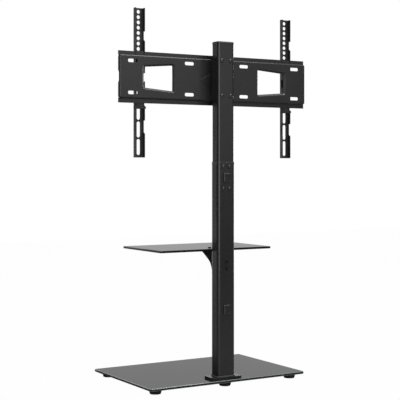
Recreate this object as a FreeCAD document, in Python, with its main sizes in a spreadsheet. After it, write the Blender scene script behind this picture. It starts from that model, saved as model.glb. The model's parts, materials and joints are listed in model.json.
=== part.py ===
# TV stand with mount: a glass base on feet, a telescopic column, a glass shelf on a bracket,
# and a slotted plate on the column that carries two sliding arms for the screen.
# Millimetres. +Z is up, the screen side faces -Y, and the origin is on the floor
# under the middle of the base.

import FreeCAD, Part
import math
import os

import Sketcher
from FreeCAD import Placement, Rotation, Vector

doc = FreeCAD.newDocument("tv_stand_with_mount")
sheet = doc.addObject("Spreadsheet::Sheet", "sizes")

# Sizes that are set by themselves
driving_sizes = [
    # base glass and feet
    ("base_width", "535"),
    ("base_depth", "367"),
    ("base_thick", "8"),
    ("base_corner", "5"),
    ("base_bevel", "1.8"),
    ("foot_height", "13.5"),
    ("foot_top_radius", "19.5"),
    ("foot_bottom_radius", "16"),
    ("foot_round", "1.5"),
    ("foot_inset_x", "33"),
    ("foot_inset_y", "33"),
    ("middle_foot_back", "10"),
    # column foot, clamped through the base glass
    ("gasket_thick", "1"),
    ("flange_width", "100"),
    ("flange_depth", "52"),
    ("flange_thick", "5"),
    ("flange_corner", "4"),
    ("clamp_width", "110"),
    ("clamp_depth", "44"),
    ("clamp_thick", "2.5"),
    ("clamp_screw_x", "38"),
    ("clamp_screw_y", "10"),
    ("clamp_screw_radius", "4"),
    ("clamp_head_radius", "6.5"),
    ("clamp_head_height", "1.8"),
    ("clamp_head_round", "0.8"),
    ("clamp_socket", "5"),
    ("clamp_socket_depth", "1.2"),
    ("clamp_screw_bite", "3.5"),
    ("bushing_wall", "2"),
    # column tubes
    ("column_edge_gap", "42.4"),
    ("column_width", "60"),
    ("column_depth", "40"),
    ("column_corner", "8.5"),
    ("column_wall", "1.2"),
    ("lower_column_length", "627.5"),
    ("tube_gap", "0.3"),
    ("upper_wall", "1.5"),
    ("upper_column_rise", "350"),
    ("guide_end", "20"),
    ("guide_side", "1.1"),
    ("collar_height", "8"),
    ("collar_proud", "0.4"),
    ("collar_round", "1.2"),
    ("cap_height", "7"),
    ("cap_proud", "0.8"),
    ("cap_round", "4.5"),
    ("cap_skirt", "12"),
    ("cap_wall", "2.5"),
    ("cap_gap", "0.15"),
    # fasteners that the column, shelf and plate share
    ("bolt_radius", "3"),
    ("bolt_clearance", "0.3"),
    ("thread_gap", "0.05"),
    ("bolt_tip", "1.5"),
    ("head_radius", "6"),
    ("head_height", "3.5"),
    ("head_round", "2.8"),
    ("head_socket", "4"),
    ("socket_depth", "1.8"),
    ("low_head_radius", "4.6"),
    ("low_head_height", "1.8"),
    ("low_head_round", "0.8"),
    ("low_socket", "3"),
    ("low_socket_depth", "1.2"),
    ("nut_across", "10"),
    ("nut_thick", "5"),
    # height lock
    ("height_travel", "120"),
    ("height_bolt_drop", "14.4"),
    ("height_bolt_pitch", "65"),
    ("height_bolt_x", "10.7"),
    ("stop_gap", "0.1"),
    ("nut_plate_thick", "4"),
    ("nut_plate_margin", "12"),
    ("nut_plate_side", "1"),
    # cable grommets
    ("grommet_width", "24"),
    ("grommet_height", "28"),
    ("grommet_proud", "4.5"),
    ("grommet_corner", "4"),
    ("grommet_round", "2.8"),
    ("grommet_border", "2"),
    ("grommet_wall", "2.5"),
    ("grommet_gap", "0.1"),
    ("grommet_tail", "1"),
    ("lower_grommet_drop", "122"),
    # shelf
    ("shelf_width", "390"),
    ("shelf_depth", "240"),
    ("shelf_thick", "6.5"),
    ("shelf_corner", "4"),
    ("shelf_bevel", "1"),
    ("shelf_drop", "252"),
    ("shelf_gap", "11.3"),
    ("shelf_pad_thick", "1"),
    ("bracket_sheet", "2.5"),
    ("bracket_width", "50"),
    ("bracket_nose", "26"),
    ("bracket_reach", "72"),
    ("bracket_height", "66"),
    ("gusset_reach", "63.5"),
    ("gusset_height", "54"),
    ("gusset_knee_reach", "24.5"),
    ("gusset_knee_drop", "23.5"),
    ("bracket_bolt_drop", "35"),
    ("bracket_bolt_pitch", "20"),
    ("shelf_screw_reach", "56"),
    ("shelf_screw_pitch", "32"),
    ("shelf_washer_radius", "6"),
    ("shelf_washer_thick", "0.8"),
    # mounting plate
    ("plate_drop", "105.3"),
    ("plate_standoff", "15.1"),
    ("plate_length", "653"),
    ("plate_face_height", "125"),
    ("upper_lip", "11.7"),
    ("lower_lip", "12.8"),
    ("plate_step", "9"),
    ("plate_sheet", "2"),
    ("plate_bend", "4"),
    ("plate_corner", "6"),
    ("slot_length", "31"),
    ("slot_height", "10"),
    ("slot_corner", "4"),
    ("inner_slot_x", "96.1"),
    ("outer_slot_inset", "42.3"),
    ("slot_rise", "45.9"),
    ("window_inner_x", "151.5"),
    ("window_inset", "80"),
    ("window_inner_half", "37.5"),
    ("window_outer_half", "29.8"),
    ("window_corner", "2"),
    ("window_slope", "5.5"),
    ("window_edge", "6"),
    ("window_flange", "4.3"),
    ("emboss_half_width", "58"),
    ("emboss_half_height", "32"),
    ("emboss_rise", "1.4"),
    ("emboss_slope", "1.2"),
    ("end_notch_mouth", "37"),
    ("end_notch_floor", "24"),
    ("end_notch_depth", "5"),
    ("mount_bolt_x", "15"),
    ("mount_bolt_pitch", "104.4"),
    ("mount_bolt_lift", "2.6"),
    ("spacer_width", "44"),
    ("spacer_height", "130"),
    ("spacer_sheet", "2.5"),
    ("spacer_relief", "0.6"),
    # mounting arms
    ("arm_length", "433"),
    ("arm_width", "31"),
    ("arm_depth", "14"),
    ("arm_sheet", "2"),
    ("arm_bend", "1.2"),
    ("arm_rise", "200.7"),
    ("arm_lead", "10"),
    ("arm_left_inset", "70"),
    ("arm_right_inset", "66.5"),
    ("arm_hole_radius", "5.4"),
    ("arm_hole_pitch", "15.33"),
    ("arm_hole_count", "8"),
    ("arm_hole_end", "10.9"),
    ("arm_slot_length", "46.3"),
    ("arm_slot_width", "11"),
    ("arm_slot_pitch", "51"),
    ("arm_slot_count", "4"),
    ("arm_slot_end", "7.3"),
    ("notch_depth", "7.7"),
    ("notch_slant", "5"),
    ("upper_notch_drop", "67.9"),
    ("upper_notch_length", "28.5"),
    ("middle_notch_drop", "188.8"),
    ("middle_notch_length", "25.6"),
    ("lower_notch_drop", "325.9"),
    ("lower_notch_length", "38.5"),
    ("hook_gap", "0.3"),
    ("hook_seat", "0.1"),
    ("lock_relief", "4.5"),
    ("lock_screw_drop", "12"),
    ("lock_screw_lead", "1"),
    ("lock_screw_radius", "2.5"),
    ("lock_head_radius", "4.2"),
    ("lock_head_height", "4"),
    ("lock_head_round", "1.4"),
    ("lock_socket", "3"),
    ("lock_tip", "0.3"),
    ("lock_nut_across", "9"),
    ("lock_nut_thick", "2"),
    ("lock_block_gap", "0.3"),
    ("lock_block_rear", "13"),
    ("lock_block_front", "9.4"),
    ("lock_block_below", "4.2"),
    ("lock_block_above", "4"),
    ("lock_block_step", "0.5"),
]

# Places and sizes that follow from them
derived_sizes = [
    ("base_top", "=foot_height + base_thick"),
    ("column_y", "=base_depth / 2 - column_edge_gap"),
    ("column_front", "=column_y - column_depth / 2"),
    ("column_rear", "=column_y + column_depth / 2"),
    ("clamp_top", "=foot_height - gasket_thick"),
    ("clamp_bottom", "=clamp_top - clamp_thick"),
    ("clamp_screw_length", "=clamp_thick + 2 * gasket_thick + base_thick + clamp_screw_bite"),
    ("clamp_hole_radius", "=clamp_screw_radius + bolt_clearance"),
    ("bushing_radius", "=clamp_hole_radius + bushing_wall"),
    ("flange_bottom", "=base_top + gasket_thick"),
    ("flange_top", "=flange_bottom + flange_thick"),
    ("lower_column_top", "=flange_top + lower_column_length"),
    ("collar_top", "=lower_column_top + collar_height"),
    ("collar_width", "=column_width + 2 * collar_proud"),
    ("collar_depth", "=column_depth + 2 * collar_proud"),
    ("collar_corner", "=column_corner + collar_proud"),
    ("collar_wall", "=column_wall + collar_proud"),
    ("upper_inset", "=column_wall + tube_gap"),
    ("upper_width", "=column_width - 2 * upper_inset"),
    ("upper_depth", "=column_depth - 2 * upper_inset"),
    ("upper_corner", "=column_corner - upper_inset"),
    ("upper_front", "=column_y - upper_depth / 2"),
    ("upper_rear", "=column_y + upper_depth / 2"),
    ("upper_top", "=collar_top + upper_column_rise"),
    ("cap_width", "=upper_width + 2 * cap_proud"),
    ("cap_depth", "=upper_depth + 2 * cap_proud"),
    ("cap_plug_width", "=upper_width - 2 * upper_wall - 2 * cap_gap"),
    ("cap_plug_depth", "=upper_depth - 2 * upper_wall - 2 * cap_gap"),
    ("cap_plug_corner", "=upper_corner - upper_wall - cap_gap"),
    ("hole_radius", "=bolt_radius + bolt_clearance"),
    ("thread_radius", "=bolt_radius + thread_gap"),
    ("upper_bolt_z", "=collar_top - height_bolt_drop"),
    ("lower_bolt_z", "=upper_bolt_z - height_bolt_pitch"),
    ("guide_top", "=upper_bolt_z + bolt_radius + stop_gap"),
    ("guide_bottom", "=lower_bolt_z - bolt_radius - height_travel - stop_gap"),
    ("guide_half", "=height_bolt_x + bolt_radius + guide_side"),
    ("upper_bottom", "=guide_bottom - guide_end"),
    ("nut_plate_rear", "=upper_rear - upper_wall - tube_gap"),
    ("nut_plate_half", "=upper_width / 2 - upper_corner - nut_plate_side"),
    ("height_bolt_length", "=column_rear - nut_plate_rear + nut_plate_thick + bolt_tip"),
    ("upper_grommet_z", "=(upper_bolt_z + lower_bolt_z) / 2"),
    ("neck_half_width", "=grommet_width / 2 - grommet_border"),
    ("neck_half_height", "=grommet_height / 2 - grommet_border"),
    ("cable_half_width", "=neck_half_width - grommet_wall"),
    ("cable_half_height", "=neck_half_height - grommet_wall"),
    ("shelf_top", "=lower_column_top - shelf_drop"),
    ("shelf_bottom", "=shelf_top - shelf_thick"),
    ("shelf_rear", "=column_front - shelf_gap"),
    ("bracket_top", "=shelf_bottom - shelf_pad_thick"),
    ("gusset_slope_length", "=sqrt((gusset_reach - gusset_knee_reach)^2 + gusset_knee_drop^2)"),
    ("gusset_arc_radius", "=(gusset_knee_reach - bracket_sheet) / (1 - gusset_knee_drop / gusset_slope_length)"),
    ("gusset_arc_drop",
     "=gusset_knee_drop + gusset_arc_radius * (gusset_reach - gusset_knee_reach) / gusset_slope_length"),
    ("shelf_screw_front", "=column_front - shelf_screw_reach"),
    ("shelf_screw_rear", "=shelf_screw_front + shelf_screw_pitch"),
    ("shelf_screw_grip", "=shelf_washer_thick + shelf_thick + shelf_pad_thick + bracket_sheet"),
    ("shelf_screw_length", "=shelf_screw_grip + nut_thick + bolt_tip"),
    ("bracket_bolt_upper", "=shelf_top - bracket_bolt_drop"),
    ("bracket_bolt_lower", "=bracket_bolt_upper - bracket_bolt_pitch"),
    ("lower_grommet_z", "=bracket_bolt_lower - lower_grommet_drop"),
    ("bracket_bolt_length", "=column_depth + bracket_sheet + nut_thick + bolt_tip"),
    ("plate_z", "=upper_top - plate_drop"),
    ("plate_rear", "=upper_front - plate_standoff"),
    ("plate_front", "=plate_rear - plate_step - plate_sheet"),
    ("plate_total", "=plate_step + plate_sheet"),
    ("upper_lip_reach", "=plate_face_height / 2 + upper_lip"),
    ("lower_lip_reach", "=plate_face_height / 2 + lower_lip"),
    ("outer_slot_x", "=plate_length / 2 - outer_slot_inset"),
    ("window_outer_x", "=plate_length / 2 - window_inset"),
    ("mount_bolt_z", "=plate_z + mount_bolt_lift"),
    ("mount_bolt_length", "=upper_depth + plate_standoff + plate_sheet + nut_thick + bolt_tip"),
    ("arm_front", "=plate_front - arm_lead"),
    ("arm_left_x", "=plate_length / 2 - arm_left_inset"),
    ("arm_right_x", "=plate_length / 2 - arm_right_inset"),
    ("arm_top", "=plate_z + arm_rise"),
    ("arm_bottom", "=arm_top - arm_length"),
    ("hook_front", "=arm_lead - hook_gap"),
    ("hook_rear", "=arm_lead + plate_sheet + hook_gap"),
    ("ledge_top", "=plate_z + plate_face_height / 2"),
    ("ledge_bottom", "=plate_z - plate_face_height / 2"),
    ("lip_top", "=plate_z + upper_lip_reach"),
    ("lip_bottom", "=plate_z - lower_lip_reach"),
    ("lock_screw_y", "=arm_lead - lock_screw_lead"),
    ("lock_screw_z", "=lip_bottom - lock_screw_drop"),
    ("lock_screw_length", "=arm_width + lock_nut_thick + lock_tip"),
    ("lock_block_width", "=arm_width - 2 * arm_sheet - 2 * lock_block_gap"),
]

for row, (alias, text) in enumerate(driving_sizes + derived_sizes, start=1):
    sheet.set(f"A{row}", alias)
    sheet.set(f"B{row}", text)
    sheet.setAlias(f"B{row}", alias)
doc.recompute()

nodes = []
near = 0.001
head_to_rear = Rotation(Vector(1, 0, 0), -90)
head_down = Rotation(Vector(1, 0, 0), 180)
head_to_right = Rotation(Vector(0, 1, 0), -90)


def size(alias):
    return float(getattr(sheet, alias))


# Bodies, sketches and features

def new_body(label, x="0", y="0", z="0", node=True):
    body = doc.addObject("PartDesign::Body", label)
    body.Label = label
    for axis, place in zip("xyz", (x, y, z)):
        body.setExpression(f"Placement.Base.{axis}", place)
    if node:
        nodes.append(body)
    return body


def new_sketch(body, name, role, offset="0"):
    """Sketch on an origin plane: the XZ plane faces -Y and the YZ plane faces +X."""
    sketch = body.newObject("Sketcher::SketchObject", f"{body.Name}_{name}")
    plane = [feature for feature in body.Origin.OriginFeatures if feature.Role == role][0]
    sketch.AttachmentSupport = [(plane, "")]
    sketch.MapMode = "FlatFace"
    sketch.setExpression("AttachmentOffset.Base.z", offset)
    return sketch


def place_point(sketch, element, corner, start, place):
    for kind, first, expression in zip(("DistanceX", "DistanceY"), start, place):
        number = sketch.addConstraint(Sketcher.Constraint(kind, -1, 1, element, corner, first))
        sketch.setExpression(f"Constraints[{number}]", expression)


def outline(sketch, points):
    """Closed polygon whose corners are placed from the sketch origin."""
    first = sketch.GeometryCount
    count = len(points)
    turns = [2 * math.pi * i / count for i in range(count)]
    ring = [Vector(10 * math.cos(turn), 10 * math.sin(turn), 0) for turn in turns]
    for i in range(count):
        sketch.addGeometry(Part.LineSegment(ring[i], ring[(i + 1) % count]), False)
    for i in range(count):
        sketch.addConstraint(Sketcher.Constraint("Coincident", first + i, 2, first + (i + 1) % count, 1))
    for i, point in enumerate(points):
        place_point(sketch, first + i, 1, (ring[i].x, ring[i].y), point)


def rectangle(sketch, left, right, bottom, top):
    outline(sketch, [(left, bottom), (right, bottom), (right, top), (left, top)])


def centred(sketch, width, height):
    """Rectangle of two sizes about the sketch origin."""
    rectangle(sketch, f"-({width}) / 2", f"({width}) / 2", f"-({height}) / 2", f"({height}) / 2")


def circle(sketch, x, y, radius):
    element = sketch.addGeometry(Part.Circle(Vector(1, 1, 0), Vector(0, 0, 1), 1), False)
    place_point(sketch, element, 3, (1, 1), (x, y))
    number = sketch.addConstraint(Sketcher.Constraint("Radius", element, 1))
    sketch.setExpression(f"Constraints[{number}]", radius)


def pad(body, sketch, length, reverse=False):
    feature = body.newObject("PartDesign::Pad", f"{sketch.Name}_pad")
    feature.Profile = sketch
    feature.setExpression("Length", length)
    feature.Reversed = reverse
    doc.recompute()
    if not feature.Shape.Solids:
        raise ValueError(f"{feature.Label} adds nothing")
    return feature


def pocket(body, sketch, length=None, reverse=False, both_ways=False):
    """Cut against the sketch's facing side, through everything where no length is given."""
    before = body.Tip.Shape.Volume
    feature = body.newObject("PartDesign::Pocket", f"{sketch.Name}_pocket")
    feature.Profile = sketch
    if length is None:
        feature.Type = "ThroughAll"
    else:
        feature.setExpression("Length", length)
    if both_ways:
        feature.SideType = "Symmetric"
    feature.Reversed = reverse
    doc.recompute()
    if feature.Shape.Volume > before - near:
        raise ValueError(f"{feature.Label} cuts nothing")
    return feature


def drill(body, name, role, places, radius, length=None, reverse=False, both_ways=False):
    holes = new_sketch(body, name, role)
    for x, y in places:
        circle(holes, x, y, radius)
    return pocket(body, holes, length, reverse, both_ways)


def row_of(body, features, sketch, pitch, count, reverse=False):
    """Repeat cuts along the sketch's upright axis."""
    feature = body.newObject("PartDesign::LinearPattern", f"{sketch.Name}_row")
    feature.Originals = features
    feature.Direction = (sketch, ["V_Axis"])
    feature.Reversed = reverse
    feature.setExpression("Length", f"{pitch} * ({count} - 1)")
    feature.setExpression("Occurrences", count)
    body.Tip = feature
    doc.recompute()


def revolve(body, profile):
    feature = body.newObject("PartDesign::Revolution", f"{body.Name}_turned")
    feature.Profile = profile
    feature.ReferenceAxis = (profile, ["V_Axis"])
    doc.recompute()


def dress(body, kind, name, amount, wanted):
    """Fillet or chamfer the edges of the body that the test picks."""
    base = body.Tip
    edges = [f"Edge{i}" for i, edge in enumerate(base.Shape.Edges, start=1) if wanted(edge)]
    feature = body.newObject(f"PartDesign::{kind}", f"{body.Name}_{name}")
    feature.Base = (base, edges)
    feature.setExpression("Radius" if kind == "Fillet" else "Size", amount)
    doc.recompute()
    if feature.Shape.isNull():
        raise ValueError(f"{feature.Label} fails on {len(edges)} edges")


# Tests that pick edges by where they lie in their body

def span(edge, axis):
    box = edge.BoundBox
    return getattr(box, f"{axis}Min"), getattr(box, f"{axis}Max")


def reach(edge, axis):
    return max(abs(end) for end in span(edge, axis))


def lies_at(edge, axis, place):
    return all(abs(end - place) < near for end in span(edge, axis))


def runs_along(edge, axis):
    others = [other for other in "XYZ" if other != axis]
    return all(span(edge, other)[1] - span(edge, other)[0] < near for other in others)


def at_corner(edge, axis, first_half, second_half):
    """Edge along an axis through a corner of a centred rectangle in the other two axes."""
    first, second = [other for other in "XYZ" if other != axis]
    return runs_along(edge, axis) \
        and abs(reach(edge, first) - first_half) < near \
        and abs(reach(edge, second) - second_half) < near


# Fasteners

def hexagon(across):
    turns = [math.radians(60 * i) for i in range(6)]
    shares = [(math.cos(turn) / math.sqrt(3), math.sin(turn) / math.sqrt(3)) for turn in turns]
    return [(f"{across} * {share_x:.6f}", f"{across} * {share_y:.6f}") for share_x, share_y in shares]


def bolt_master(name, radius, length, head_radius, head_height, head_round, socket, socket_depth):
    """Domed screw with a hexagon socket: the head stands on z = 0 and the shank points down."""
    body = new_body(name, node=False)
    profile = new_sketch(body, "profile", "XZ_Plane")
    outline(profile, [
        ("0", f"-{length}"),
        (radius, f"-{length}"),
        (radius, "0"),
        (head_radius, "0"),
        (head_radius, head_height),
        ("0", head_height),
    ])
    revolve(body, profile)
    top = body.Tip.Shape.BoundBox.ZMax
    dress(body, "Fillet", "dome", head_round, lambda edge: lies_at(edge, "Z", top))
    recess = new_sketch(body, "socket", "XY_Plane", head_height)
    outline(recess, hexagon(socket))
    pocket(body, recess, socket_depth)
    return body


def nut_master(name, across, bore, thick):
    body = new_body(name, node=False)
    profile = new_sketch(body, "profile", "XY_Plane")
    outline(profile, hexagon(across))
    circle(profile, "0", "0", bore)
    pad(body, profile, thick)
    return body


def ring_master(name, radius, bore, thick):
    body = new_body(name, node=False)
    profile = new_sketch(body, "profile", "XY_Plane")
    circle(profile, "0", "0", radius)
    circle(profile, "0", "0", bore)
    pad(body, profile, thick)
    return body


def set_of(label, master, places, turn=Rotation()):
    """One node that holds a copy of the master at each place."""
    copies = []
    for number, place in enumerate(places, start=1):
        copy = doc.addObject("App::Link", f"{label}_{number}")
        copy.LinkedObject = master
        copy.Placement = Placement(Vector(0, 0, 0), turn)
        for axis, expression in zip("xyz", place):
            copy.setExpression(f"Placement.Base.{axis}", expression)
        copies.append(copy)
    group = doc.addObject("Part::Compound", label)
    group.Label = label
    group.Links = copies
    nodes.append(group)
    doc.recompute()


# Base glass, feet and the clamp that holds the column foot to the glass

def four_places(half_x, half_y, middle="0"):
    return [(f"{side} * {half_x}", f"{middle} {end} {half_y}") for side in (-1, 1) for end in "-+"]


def glass_sheet(label, width, depth, thick, corner, bevel, y, z):
    """Sheet of glass with round corners and ground edges."""
    body = new_body(label, y=y, z=z)
    profile = new_sketch(body, "profile", "XY_Plane")
    centred(profile, width, depth)
    pad(body, profile, thick)
    dress(body, "Fillet", "corners", corner, lambda edge: runs_along(edge, "Z"))
    box = body.Tip.Shape.BoundBox
    dress(body, "Chamfer", "bevel", bevel,
          lambda edge: lies_at(edge, "Z", box.ZMin) or lies_at(edge, "Z", box.ZMax))
    return body


def foot(label, x, y, height):
    body = new_body(label, x, y)
    profile = new_sketch(body, "profile", "XZ_Plane")
    outline(profile, [
        ("0", "0"),
        ("sizes.foot_bottom_radius", "0"),
        ("sizes.foot_top_radius", height),
        ("0", height),
    ])
    revolve(body, profile)
    dress(body, "Fillet", "rim", "sizes.foot_round", lambda edge: lies_at(edge, "Z", 0))


def clamped_plate(label, width, depth, thick, z, hole, hole_length=None):
    """Flat plate on the column's axis with the clamp holes, drilled from below."""
    body = new_body(label, y="sizes.column_y", z=z)
    profile = new_sketch(body, "profile", "XY_Plane")
    centred(profile, width, depth)
    pad(body, profile, thick)
    dress(body, "Fillet", "corners", "sizes.flange_corner", lambda edge: runs_along(edge, "Z"))
    places = four_places("sizes.clamp_screw_x", "sizes.clamp_screw_y")
    drill(body, "holes", "XY_Plane", places, hole, hole_length, reverse=True)


clamp_places = four_places("sizes.clamp_screw_x", "sizes.clamp_screw_y", "sizes.column_y")

base_glass = glass_sheet("base_glass", "sizes.base_width", "sizes.base_depth", "sizes.base_thick",
                         "sizes.base_corner", "sizes.base_bevel", "0", "sizes.foot_height")
drill(base_glass, "holes", "XY_Plane", clamp_places, "sizes.bushing_radius + sizes.thread_gap", reverse=True)

foot_x = "(sizes.base_width / 2 - sizes.foot_inset_x)"
foot_y = "(sizes.base_depth / 2 - sizes.foot_inset_y)"
for end_name, end in (("front", -1), ("rear", 1)):
    for side_name, side in (("left", 1), ("right", -1)):
        foot(f"foot_{end_name}_{side_name}", f"{side} * {foot_x}", f"{end} * {foot_y}", "sizes.foot_height")
foot("foot_middle", "0", "sizes.column_y + sizes.middle_foot_back", "sizes.clamp_bottom")

clamped_plate("upper_gasket", "sizes.flange_width", "sizes.flange_depth", "sizes.gasket_thick",
              "sizes.base_top", "sizes.clamp_hole_radius")
clamped_plate("lower_gasket", "sizes.clamp_width", "sizes.clamp_depth", "sizes.gasket_thick",
              "sizes.clamp_top", "sizes.clamp_hole_radius")
clamped_plate("clamp_plate", "sizes.clamp_width", "sizes.clamp_depth", "sizes.clamp_thick",
              "sizes.clamp_bottom", "sizes.clamp_hole_radius")
clamped_plate("column_flange", "sizes.flange_width", "sizes.flange_depth", "sizes.flange_thick",
              "sizes.flange_bottom", "sizes.clamp_screw_radius + sizes.thread_gap",
              "sizes.clamp_screw_bite + sizes.stop_gap")

bushing = ring_master("bushing", "sizes.bushing_radius", "sizes.clamp_hole_radius", "sizes.base_thick")
set_of("glass_bushings", bushing, [(x, y, "sizes.foot_height") for x, y in clamp_places])
clamp_screw = bolt_master("clamp_screw", "sizes.clamp_screw_radius", "sizes.clamp_screw_length",
                          "sizes.clamp_head_radius", "sizes.clamp_head_height", "sizes.clamp_head_round",
                          "sizes.clamp_socket", "sizes.clamp_socket_depth")
set_of("clamp_screws", clamp_screw, [(x, y, "sizes.clamp_bottom") for x, y in clamp_places], head_down)


# Column tubes, collar, cap, cable grommets and height lock

def tube(label, kind, bottom, length):
    """Upright tube on the column's axis; its width, depth, corner and wall are the sizes of that kind."""
    body = new_body(label, y="sizes.column_y")
    profile = new_sketch(body, "profile", "XY_Plane", bottom)
    centred(profile, f"sizes.{kind}_width", f"sizes.{kind}_depth")
    pad(body, profile, length)
    bore = new_sketch(body, "bore", "XY_Plane", bottom)
    centred(bore, f"sizes.{kind}_width - 2 * sizes.{kind}_wall", f"sizes.{kind}_depth - 2 * sizes.{kind}_wall")
    pocket(body, bore, reverse=True)
    half_x = size(f"{kind}_width") / 2
    half_y = size(f"{kind}_depth") / 2
    wall = size(f"{kind}_wall")
    dress(body, "Fillet", "inside", f"sizes.{kind}_corner - sizes.{kind}_wall",
          lambda edge: at_corner(edge, "Z", half_x - wall, half_y - wall))
    dress(body, "Fillet", "outside", f"sizes.{kind}_corner",
          lambda edge: at_corner(edge, "Z", half_x, half_y))
    return body


lower_column = tube("lower_column", "column", "sizes.flange_top", "sizes.lower_column_length")
height_places = [(f"{side} * sizes.height_bolt_x", f"sizes.{level}_bolt_z")
                 for side in (-1, 1) for level in ("lower", "upper")]
drill(lower_column, "height_holes", "XZ_Plane", height_places, "sizes.hole_radius")
bracket_levels = ("sizes.bracket_bolt_upper", "sizes.bracket_bolt_lower")
drill(lower_column, "bracket_holes", "XZ_Plane", [("0", level) for level in bracket_levels],
      "sizes.hole_radius", both_ways=True)
cable_cuts = new_sketch(lower_column, "cable_cuts", "XZ_Plane")
for level in ("upper", "lower"):
    rectangle(cable_cuts,
              "-sizes.neck_half_width - sizes.grommet_gap",
              "sizes.neck_half_width + sizes.grommet_gap",
              f"sizes.{level}_grommet_z - sizes.neck_half_height - sizes.grommet_gap",
              f"sizes.{level}_grommet_z + sizes.neck_half_height + sizes.grommet_gap")
pocket(lower_column, cable_cuts)

collar = tube("column_collar", "collar", "sizes.lower_column_top", "sizes.collar_height")
collar_top = collar.Tip.Shape.BoundBox.ZMax
collar_bore_x = size("collar_width") / 2 - size("collar_wall")
collar_bore_y = size("collar_depth") / 2 - size("collar_wall")
dress(collar, "Fillet", "rim", "sizes.collar_round", lambda edge: lies_at(edge, "Z", collar_top)
      and (reach(edge, "X") > collar_bore_x + near or reach(edge, "Y") > collar_bore_y + near))

upper_column = tube("upper_column", "upper", "sizes.upper_bottom", "sizes.upper_top - sizes.upper_bottom")
guide = new_sketch(upper_column, "guide", "XZ_Plane")
rectangle(guide, "-sizes.guide_half", "sizes.guide_half", "sizes.guide_bottom", "sizes.guide_top")
pocket(upper_column, guide)
mount_places = four_places("sizes.mount_bolt_x", "sizes.mount_bolt_pitch / 2", "sizes.mount_bolt_z")
drill(upper_column, "mount_holes", "XZ_Plane", mount_places, "sizes.hole_radius", both_ways=True)

cap = new_body("top_cap", y="sizes.column_y", z="sizes.upper_top")
cap_plug = new_sketch(cap, "plug", "XY_Plane")
centred(cap_plug, "sizes.cap_plug_width", "sizes.cap_plug_depth")
pad(cap, cap_plug, "sizes.cap_skirt", reverse=True)
dress(cap, "Fillet", "plug_corners", "sizes.cap_plug_corner", lambda edge: runs_along(edge, "Z"))
cap_lid = new_sketch(cap, "lid", "XY_Plane")
centred(cap_lid, "sizes.cap_width", "sizes.cap_depth")
pad(cap, cap_lid, "sizes.cap_height")
dress(cap, "Fillet", "corners", "sizes.upper_corner + sizes.cap_proud",
      lambda edge: at_corner(edge, "Z", size("cap_width") / 2, size("cap_depth") / 2))
dress(cap, "Fillet", "rim", "sizes.cap_round", lambda edge: lies_at(edge, "Z", size("cap_height")))
cap_hollow = new_sketch(cap, "hollow", "XY_Plane", "-sizes.cap_skirt")
centred(cap_hollow, "sizes.cap_plug_width - 2 * sizes.cap_wall", "sizes.cap_plug_depth - 2 * sizes.cap_wall")
pocket(cap, cap_hollow, "sizes.cap_skirt", reverse=True)


def cable_grommet(level):
    """Raised frame round a cable hole, with a neck that plugs into the tube wall."""
    body = new_body(f"cable_grommet_{level}", y="sizes.column_rear", z=f"sizes.{level}_grommet_z")
    frame = new_sketch(body, "frame", "XZ_Plane")
    centred(frame, "sizes.grommet_width", "sizes.grommet_height")
    pad(body, frame, "sizes.grommet_proud", reverse=True)
    dress(body, "Fillet", "corners", "sizes.grommet_corner", lambda edge: runs_along(edge, "Y"))
    dress(body, "Fillet", "rim", "sizes.grommet_round", lambda edge: lies_at(edge, "Y", size("grommet_proud")))
    neck = new_sketch(body, "neck", "XZ_Plane")
    centred(neck, "2 * sizes.neck_half_width", "2 * sizes.neck_half_height")
    pad(body, neck, "sizes.column_wall + sizes.grommet_tail")
    way = new_sketch(body, "way", "XZ_Plane")
    centred(way, "2 * sizes.cable_half_width", "2 * sizes.cable_half_height")
    pocket(body, way, both_ways=True)


for level in ("upper", "lower"):
    cable_grommet(level)

nut_plate = new_body("height_nut_plate", y="sizes.nut_plate_rear", z="sizes.upper_grommet_z")
nut_plate_profile = new_sketch(nut_plate, "profile", "XZ_Plane")
centred(nut_plate_profile, "2 * sizes.nut_plate_half", "sizes.height_bolt_pitch + 2 * sizes.nut_plate_margin")
pad(nut_plate, nut_plate_profile, "sizes.nut_plate_thick")
drill(nut_plate, "threads", "XZ_Plane", four_places("sizes.height_bolt_x", "sizes.height_bolt_pitch / 2"),
      "sizes.thread_radius", reverse=True)
nut_plate_way = new_sketch(nut_plate, "way", "XZ_Plane")
centred(nut_plate_way, "2 * sizes.cable_half_width", "2 * sizes.cable_half_height")
pocket(nut_plate, nut_plate_way, reverse=True)

head_sizes = ("sizes.head_radius", "sizes.head_height", "sizes.head_round", "sizes.head_socket",
              "sizes.socket_depth")
low_head_sizes = ("sizes.low_head_radius", "sizes.low_head_height", "sizes.low_head_round", "sizes.low_socket",
                  "sizes.low_socket_depth")
height_bolt = bolt_master("height_bolt", "sizes.bolt_radius", "sizes.height_bolt_length", *head_sizes)
set_of("height_bolts", height_bolt, [(x, "sizes.column_rear", z) for x, z in height_places], head_to_rear)
nut = nut_master("nut", "sizes.nut_across", "sizes.thread_radius", "sizes.nut_thick")


# Shelf, its bracket and their fasteners

shelf_screw_levels = ("sizes.shelf_screw_front", "sizes.shelf_screw_rear")
shelf_middle = "(sizes.shelf_rear - sizes.shelf_depth / 2)"
shelf = glass_sheet("shelf_glass", "sizes.shelf_width", "sizes.shelf_depth", "sizes.shelf_thick",
                    "sizes.shelf_corner", "sizes.shelf_bevel", shelf_middle, "sizes.shelf_bottom")
drill(shelf, "holes", "XY_Plane", [("0", f"{level} - {shelf_middle}") for level in shelf_screw_levels],
      "sizes.hole_radius", reverse=True)


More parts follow.
